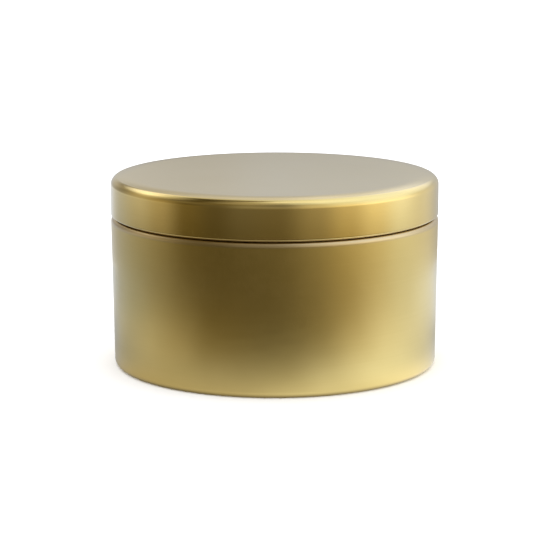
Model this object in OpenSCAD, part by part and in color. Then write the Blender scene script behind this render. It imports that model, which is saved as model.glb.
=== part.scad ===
// Round two-piece candle tin with a slip-on lid, holding a poured candle with three wicks.
// Millimetres. The origin is the middle of the base, on the surface the tin stands on, with +Z up.
// Every sheet-metal piece is one spun profile: a middle line with bends, given the sheet's thickness.

/* [Tin] */
// Outside diameter of the lid, and of the body at its shoulder
tin_d = 105; // [90:1:130]
// Overall height with the lid on
tin_h = 61.3; // [50:0.1:90]
// Thickness of the tinplate
sheet = 0.28; // [0.22:0.01:0.34]
// How much narrower the body is at its foot than at its shoulder, in diameter
wall_taper = 1.2; // [0:0.1:2.4]
// Outside radius of the corner between wall and base
foot_r = 2; // [1:0.1:3.5]
// Outside radius of the rounded shoulder between wall and neck
shoulder_r = 1.55; // [1.3:0.05:2.2]
// How far the neck stands inside the wall at the shoulder
neck_step = 1.3; // [1.2:0.05:1.5]
// Outside radius of the inward curl along the neck's rim
rim_curl_r = 1.1; // [0.9:0.1:1.2]

/* [Base] */
// How far the base panel stands above the ring the tin stands on
base_rise = 0.7; // [0.4:0.1:1.2]
// Width of the flat standing ring
ring_w = 3.4; // [2:0.1:6]

/* [Lid] */
// Height of the lid, from the roll along its edge to its flat top
lid_h = 12.65; // [9:0.05:18]
// Outside radius of the lid's top corner
lid_corner_r = 2.6; // [2.2:0.1:3.2]
// Width of the gently sloping ring between the lid's flat top and its corner
crown_w = 5; // [3:0.5:10]
// Outside radius of the inward roll along the lid's edge
lid_roll_r = 0.45; // [0.35:0.05:0.5]
// Depth of the shoulder's lower end under the lid's edge when the lid is down
seam_drop = 2; // [1.8:0.05:3]

/* [Candle] */
// Depth of the wax surface under the shoulder's lower end
wax_drop = 1.65; // [0.5:0.05:15]
// Number of wicks
wick_count = 3; // [1:1:4]
// Radius of the circle that the wicks stand on
wick_circle_r = 25; // [22:1:30]
// Diameter of a braided wick
wick_d = 2.3; // [1.6:0.1:2.5]
// Height of a wick above the wax
wick_proud = 6.5; // [4:0.5:10]
// Diameter of a wick tab and of the sticker under it
tab_d = 20; // [12:1:22]
// Height of a wick tab's neck above its disc
tab_neck_h = 6; // [3:0.5:10]
// Thickness of a wick sticker
sticker_t = 0.5; // [0.3:0.1:1]

/* [Hidden] */

turn_fn = 240;      // facets of a preview turn; every turned face is a true circle
bend_step = 9;      // degrees between points along a bend
fit_gap = 0.05;     // clearance between cast wax and what it is cast around
seat_gap = 0.08;    // clearance between the curled rim and the lid's panel
neck_fillet = 0.3;  // outside radius of the inner corner between shoulder and neck
step_angle = 45;    // steepness of the step between base panel and standing ring
crown_angle = 9;    // slope of the lid's top where it meets the corner
tab_sheet = 0.3;    // thickness of a wick tab
tab_fillet = 0.8;   // radius between a tab's disc and its neck
first_wick = 90;    // direction of the first wick, from +X towards +Y

tin_r = tin_d / 2;
foot_wall_r = tin_r - wall_taper / 2;
neck_r = tin_r - neck_step;
lid_edge_z = tin_h - lid_h;
shoulder_z = lid_edge_z - seam_drop;
shoulder_turn = acos(1 - neck_step / (shoulder_r + neck_fillet));
neck_z = shoulder_z + (shoulder_r + neck_fillet) * sin(shoulder_turn);
crown_r = crown_w / sin(crown_angle);
crown_in_r = tin_r - lid_corner_r * (1 - sin(crown_angle)) - crown_w;
corner_z = tin_h - crown_r * (1 - cos(crown_angle)) - lid_corner_r * cos(crown_angle);
curl_centre_r = neck_r - rim_curl_r;
curl_room = sheet + seat_gap + rim_curl_r;
curl_centre_z = min(
    tin_h - crown_r + leg(crown_r - curl_room, curl_centre_r - crown_in_r),
    corner_z + leg(lid_corner_r - curl_room, curl_centre_r - tin_r + lid_corner_r)
);
wax_top = shoulder_z - wax_drop;
panel_top = base_rise + sheet;
ring_in_r = foot_wall_r - foot_r - ring_w;
step_r = base_rise / (2 * (1 - cos(step_angle)));
step_run = 2 * step_r * sin(step_angle);
tab_z = panel_top + sticker_t;
tab_neck_r = wick_d / 2 + fit_gap + tab_sheet / 2;
wick_bottom = tab_z + fit_gap;

// One bend of a sheet's middle line, as points [r, z, outward r, outward z].
// side is 1 where the bend's centre is on the sheet's inside, and -1 where it is on its outside.
function bend(centre, radius, from, to, side, step = bend_step) =
    let (steps = ceil(abs(to - from) / step))
    [for (i = [0 : steps])
        let (a = from + (to - from) * i / steps, n = [cos(a), sin(a)])
        concat(centre + radius * n, side * n)];

// A middle line moved outwards by d, as plain points.
function moved(line, d) = [for (p = line) [p[0] + d * p[2], p[1] + d * p[3]]];

// Second leg of a right-angled triangle.
function leg(hypotenuse, first) = sqrt(max(0, pow(hypotenuse, 2) - pow(first, 2)));

function reversed(list) = [for (i = [len(list) - 1 : -1 : 0]) list[i]];

// Inside radius of the body's tapered wall at height z.
function bore_r(z) =
    foot_wall_r - sheet + wall_taper / 2 * (z - foot_r) / (shoulder_z - foot_r);

module spun(outline) {
    rotate_extrude($fn = turn_fn) polygon(outline);
}

module spun_sheet(line, thickness) {
    spun(concat(moved(line, thickness / 2), reversed(moved(line, -thickness / 2))));
}

// Base panel, step, standing ring and foot corner, from the axis outwards.
base_line = concat(
    [[0, base_rise + sheet / 2, 0, -1]],
    bend([ring_in_r - step_run, base_rise + sheet / 2 - step_r], step_r, 90, 90 - step_angle, -1),
    bend([ring_in_r, sheet / 2 + step_r], step_r, 270 - step_angle, 270, 1),
    bend([foot_wall_r - foot_r, foot_r], foot_r - sheet / 2, 270, 360, 1)
);

// Shoulder, neck and the rim's inward curl, above the wall.
neck_line = concat(
    bend([tin_r - shoulder_r, shoulder_z], shoulder_r - sheet / 2, 0, shoulder_turn, 1),
    bend([neck_r + neck_fillet, neck_z], neck_fillet + sheet / 2, 180 + shoulder_turn, 180, -1),
    bend([curl_centre_r, curl_centre_z], rim_curl_r - sheet / 2, 0, 290, 1)
);

// Lid panel with its crowned ring, corner, skirt and the roll along its edge.
lid_line = concat(
    [[0, tin_h - sheet / 2, 0, 1]],
    bend([crown_in_r, tin_h - crown_r], crown_r - sheet / 2, 90, 90 - crown_angle, 1, 3),
    bend([tin_r - lid_corner_r, corner_z], lid_corner_r - sheet / 2, 90 - crown_angle, 0, 1),
    bend([tin_r - lid_roll_r, lid_edge_z + lid_roll_r], lid_roll_r - sheet / 2, 0, -265, 1)
);

// Neck and disc of a wick tab, from the neck's mouth down and outwards, with the disc's underside at 0.
tab_line = concat(
    [[tab_neck_r, tab_sheet + tab_neck_h, 1, 0]],
    bend([tab_neck_r + tab_fillet, tab_sheet / 2 + tab_fillet], tab_fillet, 180, 270, -1),
    [[tab_d / 2, tab_sheet / 2, 0, 1]]
);

module at_wick(i) {
    turn = first_wick + (i - 1) * 360 / wick_count;
    rotate([0, 0, turn]) translate([wick_count > 1 ? wick_circle_r : 0, 0, 0]) children();
}

module wick_rod(gap) {
    translate([0, 0, wick_bottom])
        cylinder(d = wick_d + 2 * gap, h = wax_top + wick_proud - wick_bottom + gap, $fn = 48);
}

// The room that a tab and its sticker take in the wax.
module tab_pocket() {
    skin = moved(tab_line, tab_sheet / 2 + fit_gap);
    side_r = tab_d / 2 + fit_gap;
    translate([0, 0, tab_z])
        spun(concat(
            [[0, -sticker_t - base_rise], [0, tab_sheet + tab_neck_h + fit_gap]],
            [[skin[0][0], tab_sheet + tab_neck_h + fit_gap]],
            skin,
            [[side_r, tab_sheet + fit_gap], [side_r, -sticker_t - base_rise]]
        ));
}

module tin_body() {
    color([0.71, 0.58, 0.32]) spun_sheet(concat(base_line, neck_line), sheet);
}

module lid() {
    color([0.74, 0.61, 0.35]) spun_sheet(lid_line, sheet);
}

module wax_fill() {
    color([0.96, 0.93, 0.85]) difference() {
        spun(concat(
            moved(base_line, -sheet / 2 - fit_gap),
            [[bore_r(wax_top) - fit_gap, wax_top], [0, wax_top]]
        ));
        for (i = [1 : wick_count]) {
            at_wick(i) wick_rod(fit_gap);
            at_wick(i) tab_pocket();
        }
    }
}

module wick(i) {
    color([0.97, 0.95, 0.9]) at_wick(i) wick_rod(0);
}

module wick_tab(i) {
    color([0.72, 0.72, 0.71]) at_wick(i) translate([0, 0, tab_z]) spun_sheet(tab_line, tab_sheet);
}

module wick_sticker(i) {
    color([0.93, 0.9, 0.82]) at_wick(i) translate([0, 0, panel_top])
        cylinder(d = tab_d, h = sticker_t, $fn = 96);
}

tin_body();
lid();
wax_fill();
for (i = [1 : wick_count]) {
    wick(i);
    wick_tab(i);
    wick_sticker(i);
}
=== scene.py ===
import math
import random

import bmesh
import bpy
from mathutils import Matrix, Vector, noise


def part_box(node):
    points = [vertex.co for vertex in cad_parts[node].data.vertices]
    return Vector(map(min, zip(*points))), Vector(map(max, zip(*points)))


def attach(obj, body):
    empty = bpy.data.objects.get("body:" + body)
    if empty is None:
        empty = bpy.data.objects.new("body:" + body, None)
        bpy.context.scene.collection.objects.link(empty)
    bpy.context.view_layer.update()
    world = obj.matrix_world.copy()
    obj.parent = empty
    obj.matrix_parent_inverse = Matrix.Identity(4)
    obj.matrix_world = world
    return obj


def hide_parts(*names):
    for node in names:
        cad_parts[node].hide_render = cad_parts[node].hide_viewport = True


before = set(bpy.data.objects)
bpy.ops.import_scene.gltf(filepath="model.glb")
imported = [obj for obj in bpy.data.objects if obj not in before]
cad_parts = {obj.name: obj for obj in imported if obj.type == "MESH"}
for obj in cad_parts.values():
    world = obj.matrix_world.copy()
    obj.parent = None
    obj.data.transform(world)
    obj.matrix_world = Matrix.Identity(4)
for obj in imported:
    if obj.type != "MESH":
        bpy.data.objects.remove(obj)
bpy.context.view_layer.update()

MM = 0.001
random.seed(7)

# ---------------------------------------------------------------- sizes, all taken from the frame
lid_lo, lid_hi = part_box("lid")
body_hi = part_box("tin_body")[1]
wax_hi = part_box("wax_fill")[1]
WICKS = sorted(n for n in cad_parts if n.startswith("wick_") and n[5:].isdigit())
WICK_TABS = [n.replace("wick_", "wick_tab_") for n in WICKS]
STICKERS = [n.replace("wick_", "wick_sticker_") for n in WICKS]
tab_lo, tab_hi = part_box(WICK_TABS[0])
sticker_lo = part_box(STICKERS[0])[0]
wick_lo, wick_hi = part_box(WICKS[0])

TIN_R = lid_hi.x
TIN_H = lid_hi.z
LID_EDGE_Z = lid_lo.z
RIM_Z = body_hi.z
WAX_TOP = wax_hi.z
BASE_TOP = sticker_lo.z
TAB_R = (tab_hi.x - tab_lo.x) / 2
WICK_R = (wick_hi.x - wick_lo.x) / 2

# ---------------------------------------------------------------- the sheet metal's own sizes
SHEET = 0.28 * MM
FOOT_WALL_R = TIN_R - 0.6 * MM
FOOT_R = 2.0 * MM
RING_W = 3.4 * MM
SHOULDER_R = 1.55 * MM
NECK_STEP = 1.3 * MM
SEAM_DROP = 2.0 * MM
RIM_CURL_R = 1.1 * MM
LID_CORNER_R = 2.6 * MM
CROWN_W = 5.0 * MM
CROWN_ANGLE = 9
LID_ROLL_R = 0.45 * MM
NECK_FILLET = 0.3 * MM
STEP_ANGLE = 45
WAX_GAP = 0.05 * MM
RIM_CURL_TURN = 290
LID_ROLL_TURN = 265
SHELL_SEGMENTS = 240

BASE_RISE = BASE_TOP - SHEET
NECK_R = TIN_R - NECK_STEP
SHOULDER_Z = LID_EDGE_Z - SEAM_DROP
SHOULDER_TURN = math.degrees(math.acos(1 - NECK_STEP / (SHOULDER_R + NECK_FILLET)))
NECK_Z = SHOULDER_Z + (SHOULDER_R + NECK_FILLET) * math.sin(math.radians(SHOULDER_TURN))
RING_IN_R = FOOT_WALL_R - FOOT_R - RING_W
STEP_R = BASE_RISE / (2 * (1 - math.cos(math.radians(STEP_ANGLE))))
STEP_RUN = 2 * STEP_R * math.sin(math.radians(STEP_ANGLE))
CROWN_SIN = math.sin(math.radians(CROWN_ANGLE))
CROWN_COS = math.cos(math.radians(CROWN_ANGLE))
CROWN_R = CROWN_W / CROWN_SIN
CROWN_IN_R = TIN_R - LID_CORNER_R * (1 - CROWN_SIN) - CROWN_W
CORNER_Z = TIN_H - CROWN_R * (1 - CROWN_COS) - LID_CORNER_R * CROWN_COS


# ---------------------------------------------------------------- profiles and turning
def bend(centre_r, centre_z, radius, start, end, side, step=5):
    """One bend of a sheet's middle line as (r, z, outward r, outward z), with angles in degrees."""
    count = max(2, math.ceil(abs(end - start) / step))
    points = []
    for i in range(count + 1):
        a = math.radians(start + (end - start) * i / count)
        c, s = math.cos(a), math.sin(a)
        points.append((centre_r + radius * c, centre_z + radius * s, side * c, side * s))
    return points


def with_rows(line, edge=0.2 * MM, spacing=2.5 * MM):
    """The line with extra points on its straight stretches: close to each end, and evenly between."""
    out = [line[0]]
    for a, b in zip(line, line[1:]):
        length = math.hypot(b[0] - a[0], b[1] - a[1])
        if length > 4 * edge:
            count = max(1, round((length - 2 * edge) / spacing))
            stops = [edge + (length - 2 * edge) * i / count for i in range(count + 1)]
            for s in stops:
                t = s / length
                out.append(tuple(a[k] + (b[k] - a[k]) * t for k in range(4)))
        out.append(b)
    return out


def moved(line, d):
    """The line moved outwards by d, as plain (r, z) points."""
    return [(r + d * nr, z + d * nz) for r, z, nr, nz in line]


def turned(name, outline, segments, inner_from=None, close=True):
    """A mesh turned about +Z from (r, z) points. Faces from outline point inner_from on take slot 1."""
    verts, rings = [], []
    for r, z in outline:
        if r < 1e-9:
            rings.append([len(verts)])
            verts.append((0, 0, z))
            continue
        rings.append(list(range(len(verts), len(verts) + segments)))
        for k in range(segments):
            a = 2 * math.pi * k / segments
            verts.append((r * math.cos(a), r * math.sin(a), z))
    faces, slots = [], []
    pairs = list(range(len(outline) - 1)) + ([len(outline) - 1] if close else [])
    for i in pairs:
        lower, upper = rings[i], rings[(i + 1) % len(rings)]
        if len(lower) == 1 and len(upper) == 1:
            continue
        for k in range(segments):
            n = (k + 1) % segments
            if len(lower) == 1:
                faces.append((lower[0], upper[n], upper[k]))
            elif len(upper) == 1:
                faces.append((lower[k], lower[n], upper[0]))
            else:
                faces.append((lower[k], lower[n], upper[n], upper[k]))
            slots.append(1 if inner_from is not None and i >= inner_from else 0)
    mesh = bpy.data.meshes.new(name)
    mesh.from_pydata(verts, [], faces)
    mesh.polygons.foreach_set("material_index", slots)
    mesh.polygons.foreach_set("use_smooth", [True] * len(faces))
    mesh.update()
    piece = bpy.data.objects.new(name, mesh)
    bpy.context.scene.collection.objects.link(piece)
    return piece


def face_outwards(piece):
    """Turns a closed mesh's faces outwards."""
    bm = bmesh.new()
    bm.from_mesh(piece.data)
    bmesh.ops.recalc_face_normals(bm, faces=bm.faces)
    bm.to_mesh(piece.data)
    bm.free()
    return piece


def spun_sheet(name, line, thickness, segments, materials):
    """A turned sheet: the outside takes the first material, and the inside and cut edge the second."""
    line = with_rows(line)
    outside = moved(line, thickness / 2)
    inside = moved(line, -thickness / 2)
    piece = turned(name, outside + inside[::-1], segments, inner_from=len(outside) - 1)
    for m in materials:
        piece.data.materials.append(m)
    return face_outwards(piece)


# ---------------------------------------------------------------- node helpers
class Nodes:
    """A material's node tree with short calls."""

    def __init__(self, name):
        self.material = bpy.data.materials.new(name)
        self.material.use_nodes = True
        self.tree = self.material.node_tree
        self.tree.nodes.clear()
        self.shader = self.add("ShaderNodeBsdfPrincipled")
        out = self.add("ShaderNodeOutputMaterial")
        self.link(self.shader.outputs["BSDF"], out.inputs["Surface"])
        self.coords = self.add("ShaderNodeTexCoord").outputs["Object"]

    def add(self, kind, **settings):
        node = self.tree.nodes.new(kind)
        for key, value in settings.items():
            setattr(node, key, value)
        return node

    def link(self, a, b):
        self.tree.links.new(a, b)

    def set(self, **values):
        """Fixed values on the shader's own sockets; spaces in names are underscores."""
        for key, value in values.items():
            self.shader.inputs[key.replace("_", " ")].default_value = value

    def scaled(self, xyz):
        node = self.add("ShaderNodeMapping")
        node.inputs["Scale"].default_value = xyz
        self.link(self.coords, node.inputs["Vector"])
        return node.outputs["Vector"]

    def noise(self, vector, scale, detail=2.0, roughness=0.5):
        node = self.add("ShaderNodeTexNoise")
        node.inputs["Scale"].default_value = scale
        node.inputs["Detail"].default_value = detail
        node.inputs["Roughness"].default_value = roughness
        self.link(vector, node.inputs["Vector"])
        return node.outputs["Fac"]

    def spread(self, value, low, high, to_low, to_high):
        """value's stretch low..high mapped to to_low..to_high."""
        node = self.add("ShaderNodeMapRange")
        for key, number in (("From Min", low), ("From Max", high), ("To Min", to_low), ("To Max", to_high)):
            node.inputs[key].default_value = number
        self.link(value, node.inputs["Value"])
        return node.outputs["Result"]

    def math(self, operation, a, b):
        node = self.add("ShaderNodeMath", operation=operation)
        for socket, value in zip(node.inputs, (a, b)):
            if isinstance(value, (int, float)):
                socket.default_value = value
            else:
                self.link(value, socket)
        return node.outputs["Value"]

    def mix(self, factor, a, b):
        """Colour a, going to colour b as factor goes to 1."""
        node = self.add("ShaderNodeMix", data_type="RGBA")
        self.link(factor, node.inputs[0])
        for socket, colour in ((node.inputs[6], a), (node.inputs[7], b)):
            if isinstance(colour, tuple):
                socket.default_value = (*colour, 1)
            else:
                self.link(colour, socket)
        return node.outputs[2]

    def bump(self, height, distance, strength=1.0, after=None):
        node = self.add("ShaderNodeBump")
        node.inputs["Strength"].default_value = strength
        node.inputs["Distance"].default_value = distance
        self.link(height, node.inputs["Height"])
        if after is not None:
            self.link(after, node.inputs["Normal"])
        return node.outputs["Normal"]

    def into(self, output, socket):
        self.link(output, self.shader.inputs[socket])


# ---------------------------------------------------------------- materials
# A paler, duller gold band painted along the shoulder bend, where the bend's highlight lies: painted tone
# that dims and pales that highlight.
# It is full out to the first distance below from the band's middle, and gone at the second.
HIGHLIGHT_TONE_CORE = 0.7 * MM
HIGHLIGHT_TONE_EDGE = 1.4 * MM
HIGHLIGHT_TONE_GOLD = (0.70, 0.55, 0.30)
HIGHLIGHT_TONE_Z = SHOULDER_Z + 0.9 * MM


def lacquer(name, light, deep, smooth, rough, coat, coat_rough, highlight_tone_at=None):
    """Gold lacquer over tinplate: drawn lines around the tin, fine grain, and faint rubs in the gloss.
    The last argument, if given, is the height of a bend where a paler gold band is painted to dim and pale
    the bend's highlight."""
    n = Nodes(name)
    n.set(Metallic=1.0, Coat_Weight=coat, Coat_Roughness=coat_rough, Coat_IOR=1.5)
    around = n.noise(n.scaled((18, 18, 2600)), 1.0, 3.0)
    cloud = n.noise(n.scaled((45, 45, 45)), 1.0, 3.0)
    grain = n.noise(n.scaled((5200, 5200, 5200)), 1.0, 2.0)
    rubs = n.noise(n.scaled((160, 160, 700)), 1.0, 4.0, 0.7)
    tone = n.math("ADD", n.math("MULTIPLY", cloud, 0.7), n.math("MULTIPLY", around, 0.3))
    colour = n.mix(n.spread(tone, 0.3, 0.7, 0, 1), light, deep)
    # Painted highlight tone: a paler, duller gold band along the bend, which dims and pales the highlight
    # there.
    if highlight_tone_at is not None:
        height = n.add("ShaderNodeSeparateXYZ")
        n.link(n.coords, height.inputs[0])
        away = n.math("ABSOLUTE", n.math("SUBTRACT", height.outputs["Z"], highlight_tone_at), 0)
        colour = n.mix(n.spread(away, HIGHLIGHT_TONE_CORE, HIGHLIGHT_TONE_EDGE, 1, 0), colour, HIGHLIGHT_TONE_GOLD)
    n.into(colour, "Base Color")
    worn = n.math("ADD", n.math("MULTIPLY", rubs, 0.6), n.math("MULTIPLY", cloud, 0.4))
    n.into(n.spread(worn, 0.3, 0.7, smooth, rough), "Roughness")
    drawn = n.bump(around, 0.004 * MM, 0.5)
    n.into(n.bump(grain, 0.0012 * MM, 0.5, drawn), "Normal")
    return n.material


def tinplate(name):
    """Bare tinplate under clear lacquer, on the inside of the tin and lid."""
    n = Nodes(name)
    n.set(Metallic=1.0, Coat_Weight=0.3, Coat_Roughness=0.15)
    around = n.noise(n.scaled((12, 12, 1900)), 1.0, 3.0)
    spangle = n.noise(n.scaled((420, 420, 420)), 1.0, 2.0)
    n.into(n.mix(n.spread(spangle, 0.35, 0.65, 0, 1), (0.72, 0.69, 0.62), (0.64, 0.61, 0.55)), "Base Color")
    n.into(n.spread(around, 0.3, 0.7, 0.24, 0.36), "Roughness")
    n.into(n.bump(around, 0.004 * MM, 0.5), "Normal")
    return n.material


def wax_material():
    """Pale soy wax: soft light through it, faint frosting, and a fine orange-peel skin."""
    n = Nodes("wax")
    n.set(Subsurface_Weight=0.6, Subsurface_Radius=(1.0, 0.75, 0.5), Subsurface_Scale=2.2 * MM)
    frost = n.noise(n.scaled((260, 260, 260)), 1.0, 5.0, 0.65)
    cloud = n.noise(n.scaled((38, 38, 38)), 1.0, 3.0)
    tone = n.math("ADD", n.math("MULTIPLY", frost, 0.5), n.math("MULTIPLY", cloud, 0.5))
    n.into(n.mix(n.spread(tone, 0.35, 0.65, 0, 1), (0.93, 0.85, 0.68), (0.96, 0.91, 0.78)), "Base Color")
    n.into(n.spread(frost, 0.35, 0.7, 0.34, 0.52), "Roughness")
    skin = n.noise(n.scaled((900, 900, 900)), 1.0, 3.0)
    n.into(n.bump(skin, 0.02 * MM, 0.5), "Normal")
    return n.material


def cotton():
    """Primed cotton yarn: fine twisted fibre with a little wax in it."""
    n = Nodes("wick_cotton")
    n.set(Roughness=0.8, Sheen_Weight=0.35, Sheen_Roughness=0.5, Subsurface_Weight=0.3,
          Subsurface_Radius=(1.0, 0.8, 0.55), Subsurface_Scale=0.4 * MM)
    fibre = n.noise(n.scaled((9000, 9000, 1500)), 1.0, 3.0)
    n.into(n.mix(n.spread(fibre, 0.35, 0.65, 0, 1), (0.91, 0.85, 0.72), (0.98, 0.95, 0.87)), "Base Color")
    n.into(n.bump(fibre, 0.05 * MM, 0.7), "Normal")
    return n.material


def tab_steel():
    """Zinc-bright stamped steel."""
    n = Nodes("tab_steel")
    n.set(Metallic=1.0)
    scuffs = n.noise(n.scaled((900, 260, 900)), 1.0, 4.0, 0.6)
    n.into(n.mix(n.spread(scuffs, 0.3, 0.7, 0, 1), (0.62, 0.62, 0.61), (0.50, 0.50, 0.49)), "Base Color")
    n.into(n.spread(scuffs, 0.3, 0.7, 0.24, 0.45), "Roughness")
    n.into(n.bump(scuffs, 0.01 * MM, 0.5), "Normal")
    return n.material


def sticker_paper():
    """Foam-backed paper sticker."""
    n = Nodes("sticker")
    n.set(Roughness=0.85)
    pulp = n.noise(n.scaled((2600, 2600, 2600)), 1.0, 4.0, 0.6)
    n.into(n.mix(n.spread(pulp, 0.35, 0.65, 0, 1), (0.80, 0.76, 0.66), (0.89, 0.86, 0.77)), "Base Color")
    n.into(n.bump(pulp, 0.03 * MM, 0.6), "Normal")
    return n.material


# The body's shoulder bend carries the painted highlight tone.
BODY_GOLD = lacquer("body_lacquer", (0.86, 0.665, 0.245), (0.82, 0.63, 0.22), 0.30, 0.36, 0.5, 0.16,
                    HIGHLIGHT_TONE_Z)
LID_GOLD = lacquer("lid_lacquer", (0.88, 0.68, 0.255), (0.84, 0.645, 0.23), 0.14, 0.19, 0.7, 0.07)
TINPLATE = tinplate("tinplate")
WAX = wax_material()
COTTON = cotton()
TAB_STEEL = tab_steel()
STICKER = sticker_paper()


# ---------------------------------------------------------------- tin body
def base_line():
    """Base panel, step, standing ring and foot corner, from the axis outwards."""
    panel_z = BASE_RISE + SHEET / 2
    return (
        [(0, panel_z, 0, -1)]
        + bend(RING_IN_R - STEP_RUN, panel_z - STEP_R, STEP_R, 90, 90 - STEP_ANGLE, -1)
        + bend(RING_IN_R, SHEET / 2 + STEP_R, STEP_R, 270 - STEP_ANGLE, 270, 1)
        + bend(FOOT_WALL_R - FOOT_R, FOOT_R, FOOT_R - SHEET / 2, 270, 360, 1)
    )


def neck_line():
    """Shoulder, neck and the rim's inward curl."""
    return (
        bend(TIN_R - SHOULDER_R, SHOULDER_Z, SHOULDER_R - SHEET / 2, 0, SHOULDER_TURN, 1)
        + bend(NECK_R + NECK_FILLET, NECK_Z, NECK_FILLET + SHEET / 2, 180 + SHOULDER_TURN, 180, -1, 9)
        + bend(NECK_R - RIM_CURL_R, RIM_Z - RIM_CURL_R, RIM_CURL_R - SHEET / 2, 0, RIM_CURL_TURN, 1)
    )


def make_tin_body():
    line = base_line() + neck_line()
    piece = spun_sheet("tin_shell", line, SHEET, SHELL_SEGMENTS, [BODY_GOLD, TINPLATE])
    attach(piece, "tin")
    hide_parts("tin_body")


# ---------------------------------------------------------------- lid
def make_lid():
    line = (
        [(0, TIN_H - SHEET / 2, 0, 1)]
        + bend(CROWN_IN_R, TIN_H - CROWN_R, CROWN_R - SHEET / 2, 90, 90 - CROWN_ANGLE, 1, 0.8)
        + bend(TIN_R - LID_CORNER_R, CORNER_Z, LID_CORNER_R - SHEET / 2, 90 - CROWN_ANGLE, 0, 1, 3)
        + bend(TIN_R - LID_ROLL_R, LID_EDGE_Z + LID_ROLL_R, LID_ROLL_R - SHEET / 2, 0, -LID_ROLL_TURN, 1, 9)
    )
    piece = spun_sheet("lid_shell", line, SHEET, SHELL_SEGMENTS, [LID_GOLD, TINPLATE])
    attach(piece, "lid")
    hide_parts("lid")


# ---------------------------------------------------------------- candle
def wick_centre(node):
    lo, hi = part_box(node)
    return Vector(((lo.x + hi.x) / 2, (lo.y + hi.y) / 2, 0))


WICK_CENTRES = [wick_centre(node) for node in WICKS]
WICK_LEANS = [Vector((0.9, -0.5, 0)) * MM, Vector((-0.7, 0.8, 0)) * MM, Vector((0.4, 1.0, 0)) * MM]

# The set wax, as heights and the distances that they fade over.
WALL_CREEP = 0.9 * MM
WALL_FADE = 1.1 * MM
WICK_CREEP = 0.8 * MM
WICK_FADE = 0.9 * MM
DIP_DEPTH = 0.25 * MM
DIP_AT = 5 * MM
DIP_HALF = 3 * MM
MIDDLE_SINK = 0.35 * MM
EVEN_SINK = 0.2 * MM
SWELL_H = 0.10 * MM
SWELL_SCALE = 55
RIPPLE_H = 0.03 * MM
RIPPLE_SCALE = 260


def wax_height(x, y):
    """The set surface: creeping up the wall and wicks, sunk a little between, and slightly uneven."""
    r = math.hypot(x, y)
    wall = WALL_CREEP * math.exp((r - wax_hi.x) / WALL_FADE)
    sink = -MIDDLE_SINK * (1 - (r / wax_hi.x) ** 2)
    wicks = 0.0
    for c in WICK_CENTRES:
        d = math.hypot(x - c.x, y - c.y)
        wicks += WICK_CREEP * math.exp(-max(0, d - WICK_R) / WICK_FADE)
        wicks -= DIP_DEPTH * math.exp(-(((d - DIP_AT) / DIP_HALF) ** 2))
    swell = SWELL_H * noise.noise(Vector((x, y, 0)) * SWELL_SCALE)
    ripple = RIPPLE_H * noise.noise(Vector((x, y, 4)) * RIPPLE_SCALE)
    return WAX_TOP - EVEN_SINK + wall + sink + wicks + swell + ripple


def make_wax():
    """The cast candle: the base's shape below, the wall's beside, and the set surface on top."""
    rows = 90
    top_r = wax_hi.x - 0.02 * MM
    cast = moved(with_rows(base_line()), -SHEET / 2 - WAX_GAP)
    top = [(top_r * (1 - i / rows), WAX_TOP) for i in range(rows + 1)]
    piece = turned("wax_candle", cast + top, SHELL_SEGMENTS, close=False)
    for v in piece.data.vertices:
        if v.co.z > WAX_TOP - 0.01 * MM:
            v.co.z = wax_height(v.co.x, v.co.y)
    piece.data.materials.append(WAX)
    face_outwards(piece)
    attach(piece, "tin")
    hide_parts("wax_fill")


# A direction that no wick or yarn runs along, to turn a tube's sides from.
ASKEW = Vector((0.31, 0.95, 0.02))


def tube(verts, faces, path, radius, sides):
    """Adds a closed tube along path to verts and faces."""
    start = len(verts)
    for i, p in enumerate(path):
        a = path[max(0, i - 1)]
        b = path[min(len(path) - 1, i + 1)]
        along = (b - a).normalized()
        side = along.cross(ASKEW).normalized()
        up = along.cross(side)
        for k in range(sides):
            t = 2 * math.pi * k / sides
            verts.append(p + radius * (math.cos(t) * side + math.sin(t) * up))
    for i in range(len(path) - 1):
        for k in range(sides):
            n = (k + 1) % sides
            a, b = start + i * sides, start + (i + 1) * sides
            faces.append((a + k, a + n, b + n, b + k))
    faces.append(tuple(start + k for k in reversed(range(sides))))
    faces.append(tuple(start + (len(path) - 1) * sides + k for k in range(sides)))


def make_wick(node, lean):
    """A round cotton braid: eight yarns, four each way, passing over and under one another."""
    lo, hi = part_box(node)
    centre = wick_centre(node)
    yarns, pitch, yarn_r = 8, 5.6 * MM, 0.34 * MM
    weave = 0.09 * MM
    mid_r = WICK_R - yarn_r - 0.07 * MM
    steps, core_steps = 150, 7
    yarn_sides, core_sides = 7, 10
    verts, faces = [], []
    for y in range(yarns):
        way = 1 if y % 2 else -1
        phase = 2 * math.pi * (y // 2) / (yarns / 2) + (0 if way > 0 else math.pi / 8)
        end = hi.z - (0.1 + 0.35 * random.random()) * MM
        path = []
        for i in range(steps + 1):
            z = lo.z + (end - lo.z) * i / steps
            turn = 2 * math.pi * (z - lo.z) / pitch
            a = phase + way * turn
            r = mid_r + way * weave * math.cos(4 * turn)
            above = max(0, z - WAX_TOP) / (hi.z - WAX_TOP)
            off = lean * above ** 2
            path.append(centre + Vector((r * math.cos(a) + off.x, r * math.sin(a) + off.y, z)))
        tube(verts, faces, path, yarn_r, yarn_sides)
    core = [centre + Vector((0, 0, lo.z)), centre + Vector((0, 0, WAX_TOP))]
    for i in range(1, core_steps):
        above = i / core_steps
        z = WAX_TOP + (hi.z - 0.5 * MM - WAX_TOP) * above
        core.append(centre + Vector((lean.x * above ** 2, lean.y * above ** 2, z)))
    tube(verts, faces, core, mid_r, core_sides)
    mesh = bpy.data.meshes.new(node + "_braid")
    mesh.from_pydata(verts, [], faces)
    mesh.polygons.foreach_set("use_smooth", [True] * len(faces))
    mesh.materials.append(COTTON)
    piece = bpy.data.objects.new(node + "_braid", mesh)
    bpy.context.scene.collection.objects.link(piece)
    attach(piece, "tin")
    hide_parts(node)


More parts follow.
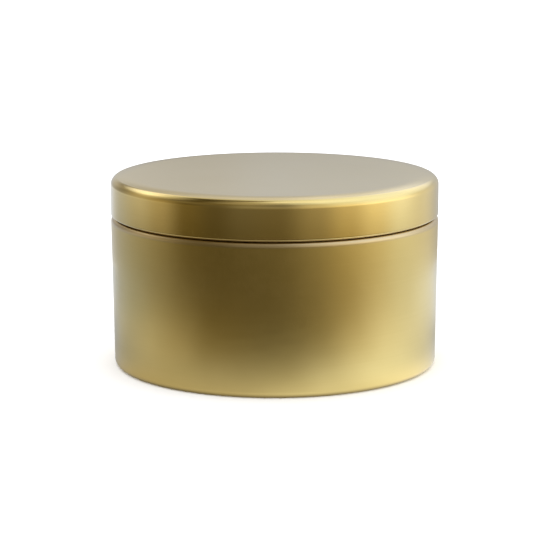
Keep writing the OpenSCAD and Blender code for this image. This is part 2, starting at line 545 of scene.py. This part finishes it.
def make_tab(node):
    """A stamped tab: a flat disc with a stiffening bead, and a neck crimped on the wick."""
    lo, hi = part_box(node)
    thick = 0.3 * MM
    neck_r = WICK_R + 0.2 * MM
    fillet = 0.8 * MM
    bead_r, bead_at, bead_h = 0.5 * MM, 7 * MM, 0.02 * MM
    crimp_z, crimp_half, crimp_depth = 4.2 * MM, 1.1 * MM, 0.06
    neck_from = 2 * MM
    line = (
        [(neck_r, hi.z - lo.z, 1, 0)]
        + bend(neck_r + fillet, thick / 2 + fillet, fillet, 180, 270, -1, 10)
        + [(TAB_R, thick / 2, 0, 1)]
    )
    piece = spun_sheet(node + "_stamped", line, thick, 72, [TAB_STEEL, TAB_STEEL])
    centre = wick_centre(node)
    for v in piece.data.vertices:
        r = math.hypot(v.co.x, v.co.y)
        if v.co.z > neck_from:
            pinch = math.exp(-(((v.co.z - crimp_z) / crimp_half) ** 2))
            squeeze = 1 - crimp_depth * pinch * (0.5 + 0.5 * math.cos(4 * math.atan2(v.co.y, v.co.x)))
            v.co.x *= squeeze
            v.co.y *= squeeze
        elif abs(r - bead_at) < 2 * bead_r:
            v.co.z += bead_h * math.cos((r - bead_at) / bead_r)
        v.co += centre + Vector((0, 0, lo.z))
    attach(piece, "tin")
    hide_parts(node)


def make_sticker(node):
    """A foam sticker with softly rounded edges."""
    lo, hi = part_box(node)
    thick = hi.z - lo.z
    soft = 0.12 * MM
    edge = [(r, z) for r, z, _, _ in bend(TAB_R - soft, soft, soft, 270, 360, 1, 15)]
    edge += [(r, z) for r, z, _, _ in bend(TAB_R - soft, thick - soft, soft, 0, 90, 1, 15)]
    piece = turned(node + "_disc", [(0, 0)] + edge + [(0, thick)], 96, close=False)
    piece.data.materials.append(STICKER)
    face_outwards(piece)
    centre = wick_centre(node)
    for v in piece.data.vertices:
        v.co += centre + Vector((0, 0, lo.z))
    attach(piece, "tin")
    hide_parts(node)


# ---------------------------------------------------------------- stage
def floor_paper():
    """Matt white studio paper."""
    n = Nodes("floor_paper")
    n.set(Base_Color=(0.93, 0.93, 0.93, 1), Roughness=0.9, Specular_IOR_Level=0.0)
    return n.material


def only_in_reflections(obj):
    """Hides a piece of the stage from everything but glossy reflections."""
    obj.visible_camera = False
    obj.visible_diffuse = False
    obj.visible_shadow = False
    obj.visible_transmission = False
    obj.visible_volume_scatter = False


def make_floor():
    """A wide paper floor. The tin's gloss shows the tent's glowing ground in its place, with the floor's
    light and shade painted into it.
    """
    half = 6.0
    corners = [(-half, -half, 0), (half, -half, 0), (half, half, 0), (-half, half, 0)]
    mesh = bpy.data.meshes.new("floor")
    mesh.from_pydata(corners, [], [(0, 1, 2, 3)])
    mesh.materials.append(floor_paper())
    floor = bpy.data.objects.new("floor", mesh)
    bpy.context.scene.collection.objects.link(floor)
    floor.visible_glossy = False


# A light tent around the tin, seen only in its reflections: softboxes on the right, a weaker one
# on the left, and dark cloth in front and to the left. Each ring is a distance up the wall, or
# outwards from the axis, and its stops (azimuth, brightness, warmth). Azimuth is in degrees from
# the camera's side, positive to the right. Warmth is 0 for white, 1 for brown, and cool below 0.
# The stops began as a least-squares fit of the tent's light to the photograph's tones, made by a
# separate program and rounded. Rings were then added, and most of the values changed.
TENT_R = 0.19
TENT_TOP_Z = 0.20
TENT_SEGMENTS = 96
ROOF_BEND = (0.13, 0.29)
ROOF_PEAK_Z = 0.32
GROUND_GLOW_Z = -0.5 * MM
WALL_RINGS = [
    (0.015, [(-180, 0.16, 0.0), (-166, 0.12, 0.0), (-154, 0.76, -0.2), (-120, 0.38, -0.2),
             (-95, 0.27, 0.1), (-75, 0.19, 0.4), (-55, 0.07, 0.9), (-35, 0.07, 0.8), (5, 0.09, 0.8),
             (25, 0.17, 0.7), (45, 0.26, 0.9), (65, 0.42, 0.5), (85, 0.64, -0.1), (110, 0.70, 0.0),
             (140, 0.52, 0.0), (165, 0.46, 0.0)]),
    (0.04, [(-180, 0.32, 0.1), (-168, 0.20, 0.1), (-154, 0.80, -0.2), (-120, 0.58, -0.1),
            (-95, 0.69, 0.1), (-75, 0.55, 0.4), (-55, 0.20, 0.7), (-35, 0.12, 0.6), (-20, 0.17, 0.4),
            (2, 0.18, 0.5), (25, 0.39, 0.4), (45, 0.76, 0.4), (65, 1.22, 0.3), (85, 1.22, -0.1),
            (110, 0.82, 0.0), (140, 0.55, 0.0)]),
    (0.055, [(-180, 0.36, 0.1), (-168, 0.32, 0.1), (-152, 0.53, -0.1), (-120, 0.31, 0.0),
             (-95, 0.48, 0.2), (-75, 0.42, 0.5), (-55, 0.14, 0.8), (-35, 0.12, 0.6), (-15, 0.24, 0.4),
             (5, 0.26, 0.4), (25, 0.64, 0.35), (45, 1.10, 0.35), (65, 1.52, 0.1), (85, 1.36, 0.0),
             (110, 0.80, 0.0), (140, 0.56, 0.0)]),
    (0.10, [(-180, 0.57, -0.1), (-172, 0.56, 0.0), (-160, 0.60, 0.0), (-140, 0.50, 0.1),
            (-120, 0.24, 0.2), (-95, 0.48, 0.4), (-75, 0.34, 0.6), (-55, 0.11, 0.7), (-35, 0.12, 0.5),
            (-15, 0.29, 0.25), (5, 0.29, 0.2), (25, 0.68, 0.2), (45, 1.00, 0.1), (65, 1.20, -0.1),
            (85, 1.25, -0.1), (110, 0.80, 0.0), (145, 0.55, -0.1), (167, 0.55, -0.1)]),
    (0.13, [(-180, 0.48, 0.0), (-163, 0.45, 0.1), (-148, 0.20, 0.3), (-120, 0.33, 0.3),
            (-95, 0.62, 0.3), (-75, 0.25, 0.5), (-35, 0.14, 0.6), (-15, 0.25, 0.3), (5, 0.22, 0.2),
            (25, 0.66, 0.2), (45, 1.00, 0.0), (65, 1.15, -0.2), (90, 1.15, -0.3), (115, 0.95, -0.2),
            (158, 1.00, -0.1), (169, 0.62, 0.0)]),
    (0.18, [(-180, 0.80, 0.1), (-170, 0.74, 0.1), (-156, 0.68, 0.2), (-138, 1.30, 0.0),
            (-110, 1.45, 0.0), (-90, 0.56, 0.2), (-70, 0.12, 0.5), (-35, 0.16, 0.7), (-15, 0.24, 0.4),
            (5, 0.17, 0.3), (25, 0.60, 0.2), (45, 0.92, -0.1), (65, 1.05, -0.3), (90, 1.14, -0.3),
            (140, 1.20, -0.2), (172, 1.00, 0.0)]),
]
# The ground rings are the floor as the tin reflects it, with its light and shade painted into the glow: a
# painted contact shadow, darkest close to the foot, and a painted pool of light to the right.
GROUND_LIGHT_AND_SHADE_RINGS = [
    (0.0505, [(-180, 0.28, 0.0), (-140, 0.15, 0.1), (-100, 0.25, 0.2), (-40, 0.16, 0.3),
              (0, 0.20, 0.3), (40, 0.30, 0.2), (80, 0.55, 0.0), (120, 0.50, 0.0)]),
    (0.053, [(-180, 0.45, -0.3), (-140, 0.24, -0.3), (-100, 0.40, -0.2), (-60, 0.46, 0.2),
             (-20, 0.51, 0.1), (20, 0.80, -0.1), (60, 1.12, -0.1), (110, 0.64, -0.3)]),
    (0.058, [(-180, 0.48, -0.3), (-140, 0.29, -0.3), (-100, 0.46, -0.2), (-60, 0.52, 0.2),
             (-20, 0.58, 0.1), (20, 0.90, -0.1), (60, 1.20, -0.1), (110, 0.62, -0.3)]),
    (0.075, [(-180, 0.60, -0.35), (-120, 0.46, -0.4), (-90, 0.40, -0.2), (-55, 0.50, 0.0),
             (-15, 0.48, 0.0), (5, 0.55, 0.0), (25, 0.88, -0.2), (45, 1.10, -0.35), (65, 0.95, -0.35),
             (90, 0.72, -0.3), (120, 0.48, -0.3)]),
    (0.11, [(-180, 0.88, -0.2), (-150, 0.95, -0.2), (-120, 0.54, -0.3), (-95, 0.52, -0.1),
            (-75, 0.70, 0.1), (-55, 0.52, 0.35), (-35, 0.18, 1.0), (5, 0.05, 1.0), (25, 0.14, 1.0),
            (45, 0.64, 0.3), (65, 1.06, -0.1), (85, 0.92, -0.2), (115, 0.80, -0.3)]),
    (0.16, [(-180, 0.62, -0.4), (-166, 0.58, -0.4), (-150, 0.84, -0.4), (-120, 0.43, -0.6),
            (-95, 0.30, -0.7), (-75, 0.10, -0.4), (-55, 0.02, 1.0), (25, 0.07, 1.0), (45, 0.15, 0.9),
            (65, 0.47, 0.2), (85, 0.71, -0.3), (110, 0.95, -0.4)]),
]
ROOF_RINGS = [
    (0.05, [(-180, 0.60, -0.05), (-140, 0.25, 0.3), (-100, 0.10, 0.6), (-60, 0.35, 0.3),
            (-20, 0.71, 0.0), (5, 1.10, -0.1), (20, 1.05, -0.15), (60, 1.05, -0.1), (100, 1.00, -0.1),
            (140, 0.90, -0.1)]),
    (0.13, [(-180, 0.80, -0.1), (-150, 0.50, 0.1), (-125, 0.07, 0.6), (-70, 0.05, 1.0),
            (-30, 0.40, 0.3), (0, 0.52, 0.1), (25, 0.80, -0.2), (42, 1.12, -0.2), (65, 1.15, -0.3),
            (100, 1.12, -0.3), (140, 0.98, -0.3)]),
    (0.185, [(-180, 0.72, -0.1), (-168, 0.62, 0.0), (-158, 0.74, 0.0), (-140, 1.40, 0.0),
             (-112, 1.50, 0.0), (-90, 0.55, 0.2), (-65, 0.07, 0.9), (-20, 0.34, 0.3), (5, 0.28, 0.1),
             (25, 0.65, -0.2), (38, 0.95, -0.2), (60, 1.10, -0.3), (100, 1.12, -0.4),
             (140, 1.10, -0.3), (175, 0.95, -0.1)]),
]


def cloth_light(brightness, warmth):
    """The light from tent cloth: white at warmth 0, brown at 1 and bluish below 0."""
    return (brightness, brightness * (1 - 0.3 * warmth), brightness * (1 - 0.9 * warmth), 1)


def ring_colour(n, share, stops):
    """A colour that follows one ring's stops around the tent and meets itself behind the tin."""
    ramp = n.add("ShaderNodeValToRGB")
    ramp.color_ramp.interpolation = "EASE"
    n.link(share, ramp.inputs["Fac"])
    elements = ramp.color_ramp.elements
    for i, (azimuth, brightness, warmth) in enumerate(stops + [(180, *stops[0][1:])]):
        at = (azimuth + 180) / 360
        stop = elements[i] if i < 2 else elements.new(at)
        stop.position = at
        stop.color = cloth_light(brightness, warmth)
    return ramp.outputs["Color"]


def tent_material(name, rings, upright):
    """Emission that follows rings of stops, from ring to ring up a wall or outwards from the axis."""
    n = Nodes(name)
    n.set(Base_Color=(0, 0, 0, 1), Roughness=1.0, Specular_IOR_Level=0.0, Emission_Strength=1.0)
    parts = n.add("ShaderNodeSeparateXYZ")
    n.link(n.coords, parts.inputs[0])
    x, y, z = (parts.outputs[k] for k in "XYZ")
    share = n.spread(n.math("ARCTAN2", x, n.math("MULTIPLY", y, -1.0)), -math.pi, math.pi, 0, 1)
    if upright:
        along = z
    else:
        along = n.math("POWER", n.math("ADD", n.math("MULTIPLY", x, x), n.math("MULTIPLY", y, y)), 0.5)
    colour = ring_colour(n, share, rings[0][1])
    for (start, _), (end, stops) in zip(rings, rings[1:]):
        colour = n.mix(n.spread(along, start, end, 0, 1), colour, ring_colour(n, share, stops))
    n.into(colour, "Emission Color")
    return n.material


def make_tent():
    """The tent's wall, its roof, and a glowing sheet on the floor with the floor's light and shade painted
    into it, which shows instead of the paper in the tin.
    """
    shapes = [
        ("tent_wall", [(TENT_R, 0), (TENT_R, TENT_TOP_Z)], WALL_RINGS, True),
        ("tent_ground", [(0, GROUND_GLOW_Z), (TENT_R, GROUND_GLOW_Z)], GROUND_LIGHT_AND_SHADE_RINGS, False),
        ("tent_roof", [(TENT_R, TENT_TOP_Z), ROOF_BEND, (0, ROOF_PEAK_Z)], ROOF_RINGS, False),
    ]
    for name, outline, rings, upright in shapes:
        cloth = turned(name, outline, TENT_SEGMENTS, close=False)
        cloth.data.materials.append(tent_material(name, rings, upright))
        only_in_reflections(cloth)


def make_world():
    """A plain white sky. It lights the floor and wax, and the tin's gloss shows the tent instead."""
    world = bpy.data.worlds.new("studio")
    bpy.context.scene.world = world
    world.use_nodes = True
    sky = world.node_tree.nodes["Background"]
    sky.inputs["Color"].default_value = (1.0, 1.0, 1.0, 1)
    sky.inputs["Strength"].default_value = 1.6


# The camera, with lengths in tin radii where they scale with the tin, and angles in degrees.
LENS_MM = 143.9
SENSOR_MM = 36
CAMERA_PITCH = 11.2
CAMERA_ROLL = -0.13
CAMERA_DISTANCE = 13.54 * TIN_R
AIM = Vector((0, 0, 0.55 * TIN_R))
AIM_NUDGE = Vector((0.07, 0, -0.86)) * MM


def make_camera():
    """A long lens from in front and a little above, held a touch off level."""
    data = bpy.data.cameras.new("camera")
    data.sensor_width = SENSOR_MM
    data.lens = LENS_MM
    data.clip_start = 0.01
    data.clip_end = 50
    camera = bpy.data.objects.new("camera", data)
    bpy.context.scene.collection.objects.link(camera)
    bpy.context.scene.camera = camera
    pitch = math.radians(CAMERA_PITCH)
    camera.location = AIM + CAMERA_DISTANCE * Vector((0, -math.cos(pitch), math.sin(pitch)))
    look = AIM + AIM_NUDGE - camera.location
    camera.rotation_euler = look.to_track_quat("-Z", "Y").to_euler()
    camera.rotation_euler.rotate_axis("Z", math.radians(CAMERA_ROLL))


make_camera()
make_world()
make_floor()
make_tent()
make_tin_body()
make_lid()
make_wax()
for node, lean in zip(WICKS, WICK_LEANS):
    make_wick(node, lean)
for node in WICK_TABS:
    make_tab(node)
for node in STICKERS:
    make_sticker(node)

bpy.context.scene.view_settings.view_transform = "Standard"
